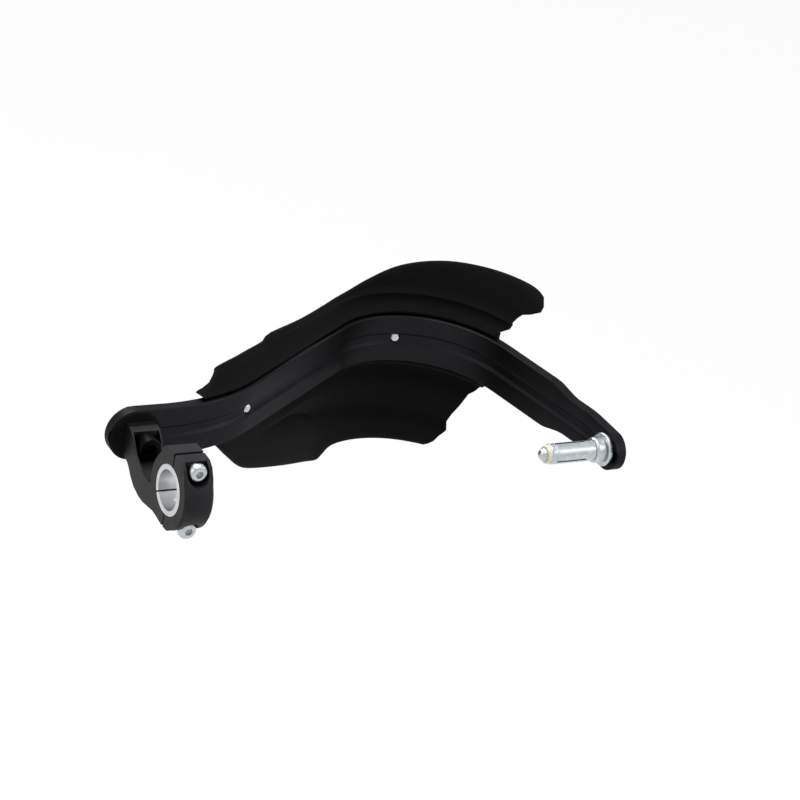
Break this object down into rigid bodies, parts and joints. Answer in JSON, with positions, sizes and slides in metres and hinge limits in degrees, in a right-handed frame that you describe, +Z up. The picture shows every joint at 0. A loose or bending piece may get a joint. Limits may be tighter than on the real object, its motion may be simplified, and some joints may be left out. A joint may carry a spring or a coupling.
{
  "type": "motorcycle hand guard",
  "caption": "Right-hand motorcycle hand guard: curved black bar with a moulded wind shield, handlebar clamp at the inner end and expanding plug for the bar end.",
  "frame": {"origin": "centre of the handlebar bore in the clamp, half way along the clamp", "axes": "+X along the handlebar towards its open end, +Y forward, away from the rider, +Z up, across the width of the bar"},
  "size_m": [0.2994, 0.1797, 0.137],
  "materials": {
    "black_anodised": "black anodised aluminium, satin, brushed along the bar",
    "black_clamp": "black anodised cast aluminium, bead blasted",
    "black_plastic": "matte moulded plastic with a fine grain",
    "bare_aluminium": "turned bare aluminium",
    "zinc": "clear zinc-plated steel",
    "black_oxide": "black oxide steel",
    "black_nylon": "black glass-filled nylon, matte",
    "nylon": "cream nylon"
  },
  "bodies": {
    "root": {"bar": "black_anodised", "shield": "black_plastic", "clamp_saddle": "black_clamp", "clamp_cap": "black_clamp", "clamp_bush": "bare_aluminium", "clamp_screw_upper": "zinc", "clamp_screw_lower": "zinc", "arm_bolt": "black_oxide", "pivot_pad": "black_nylon", "arm_nut": "zinc", "shield_screw_inner": "zinc", "shield_screw_outer": "zinc", "shield_washer_inner": "zinc", "shield_washer_outer": "zinc", "bar_end_bolt": "zinc", "bar_end_washer": "zinc", "flange_washer": "zinc", "collar": "zinc", "expansion_sleeve": "zinc", "lock_ring": "nylon", "cone_nut": "zinc"}
  },
  "joints": []
}
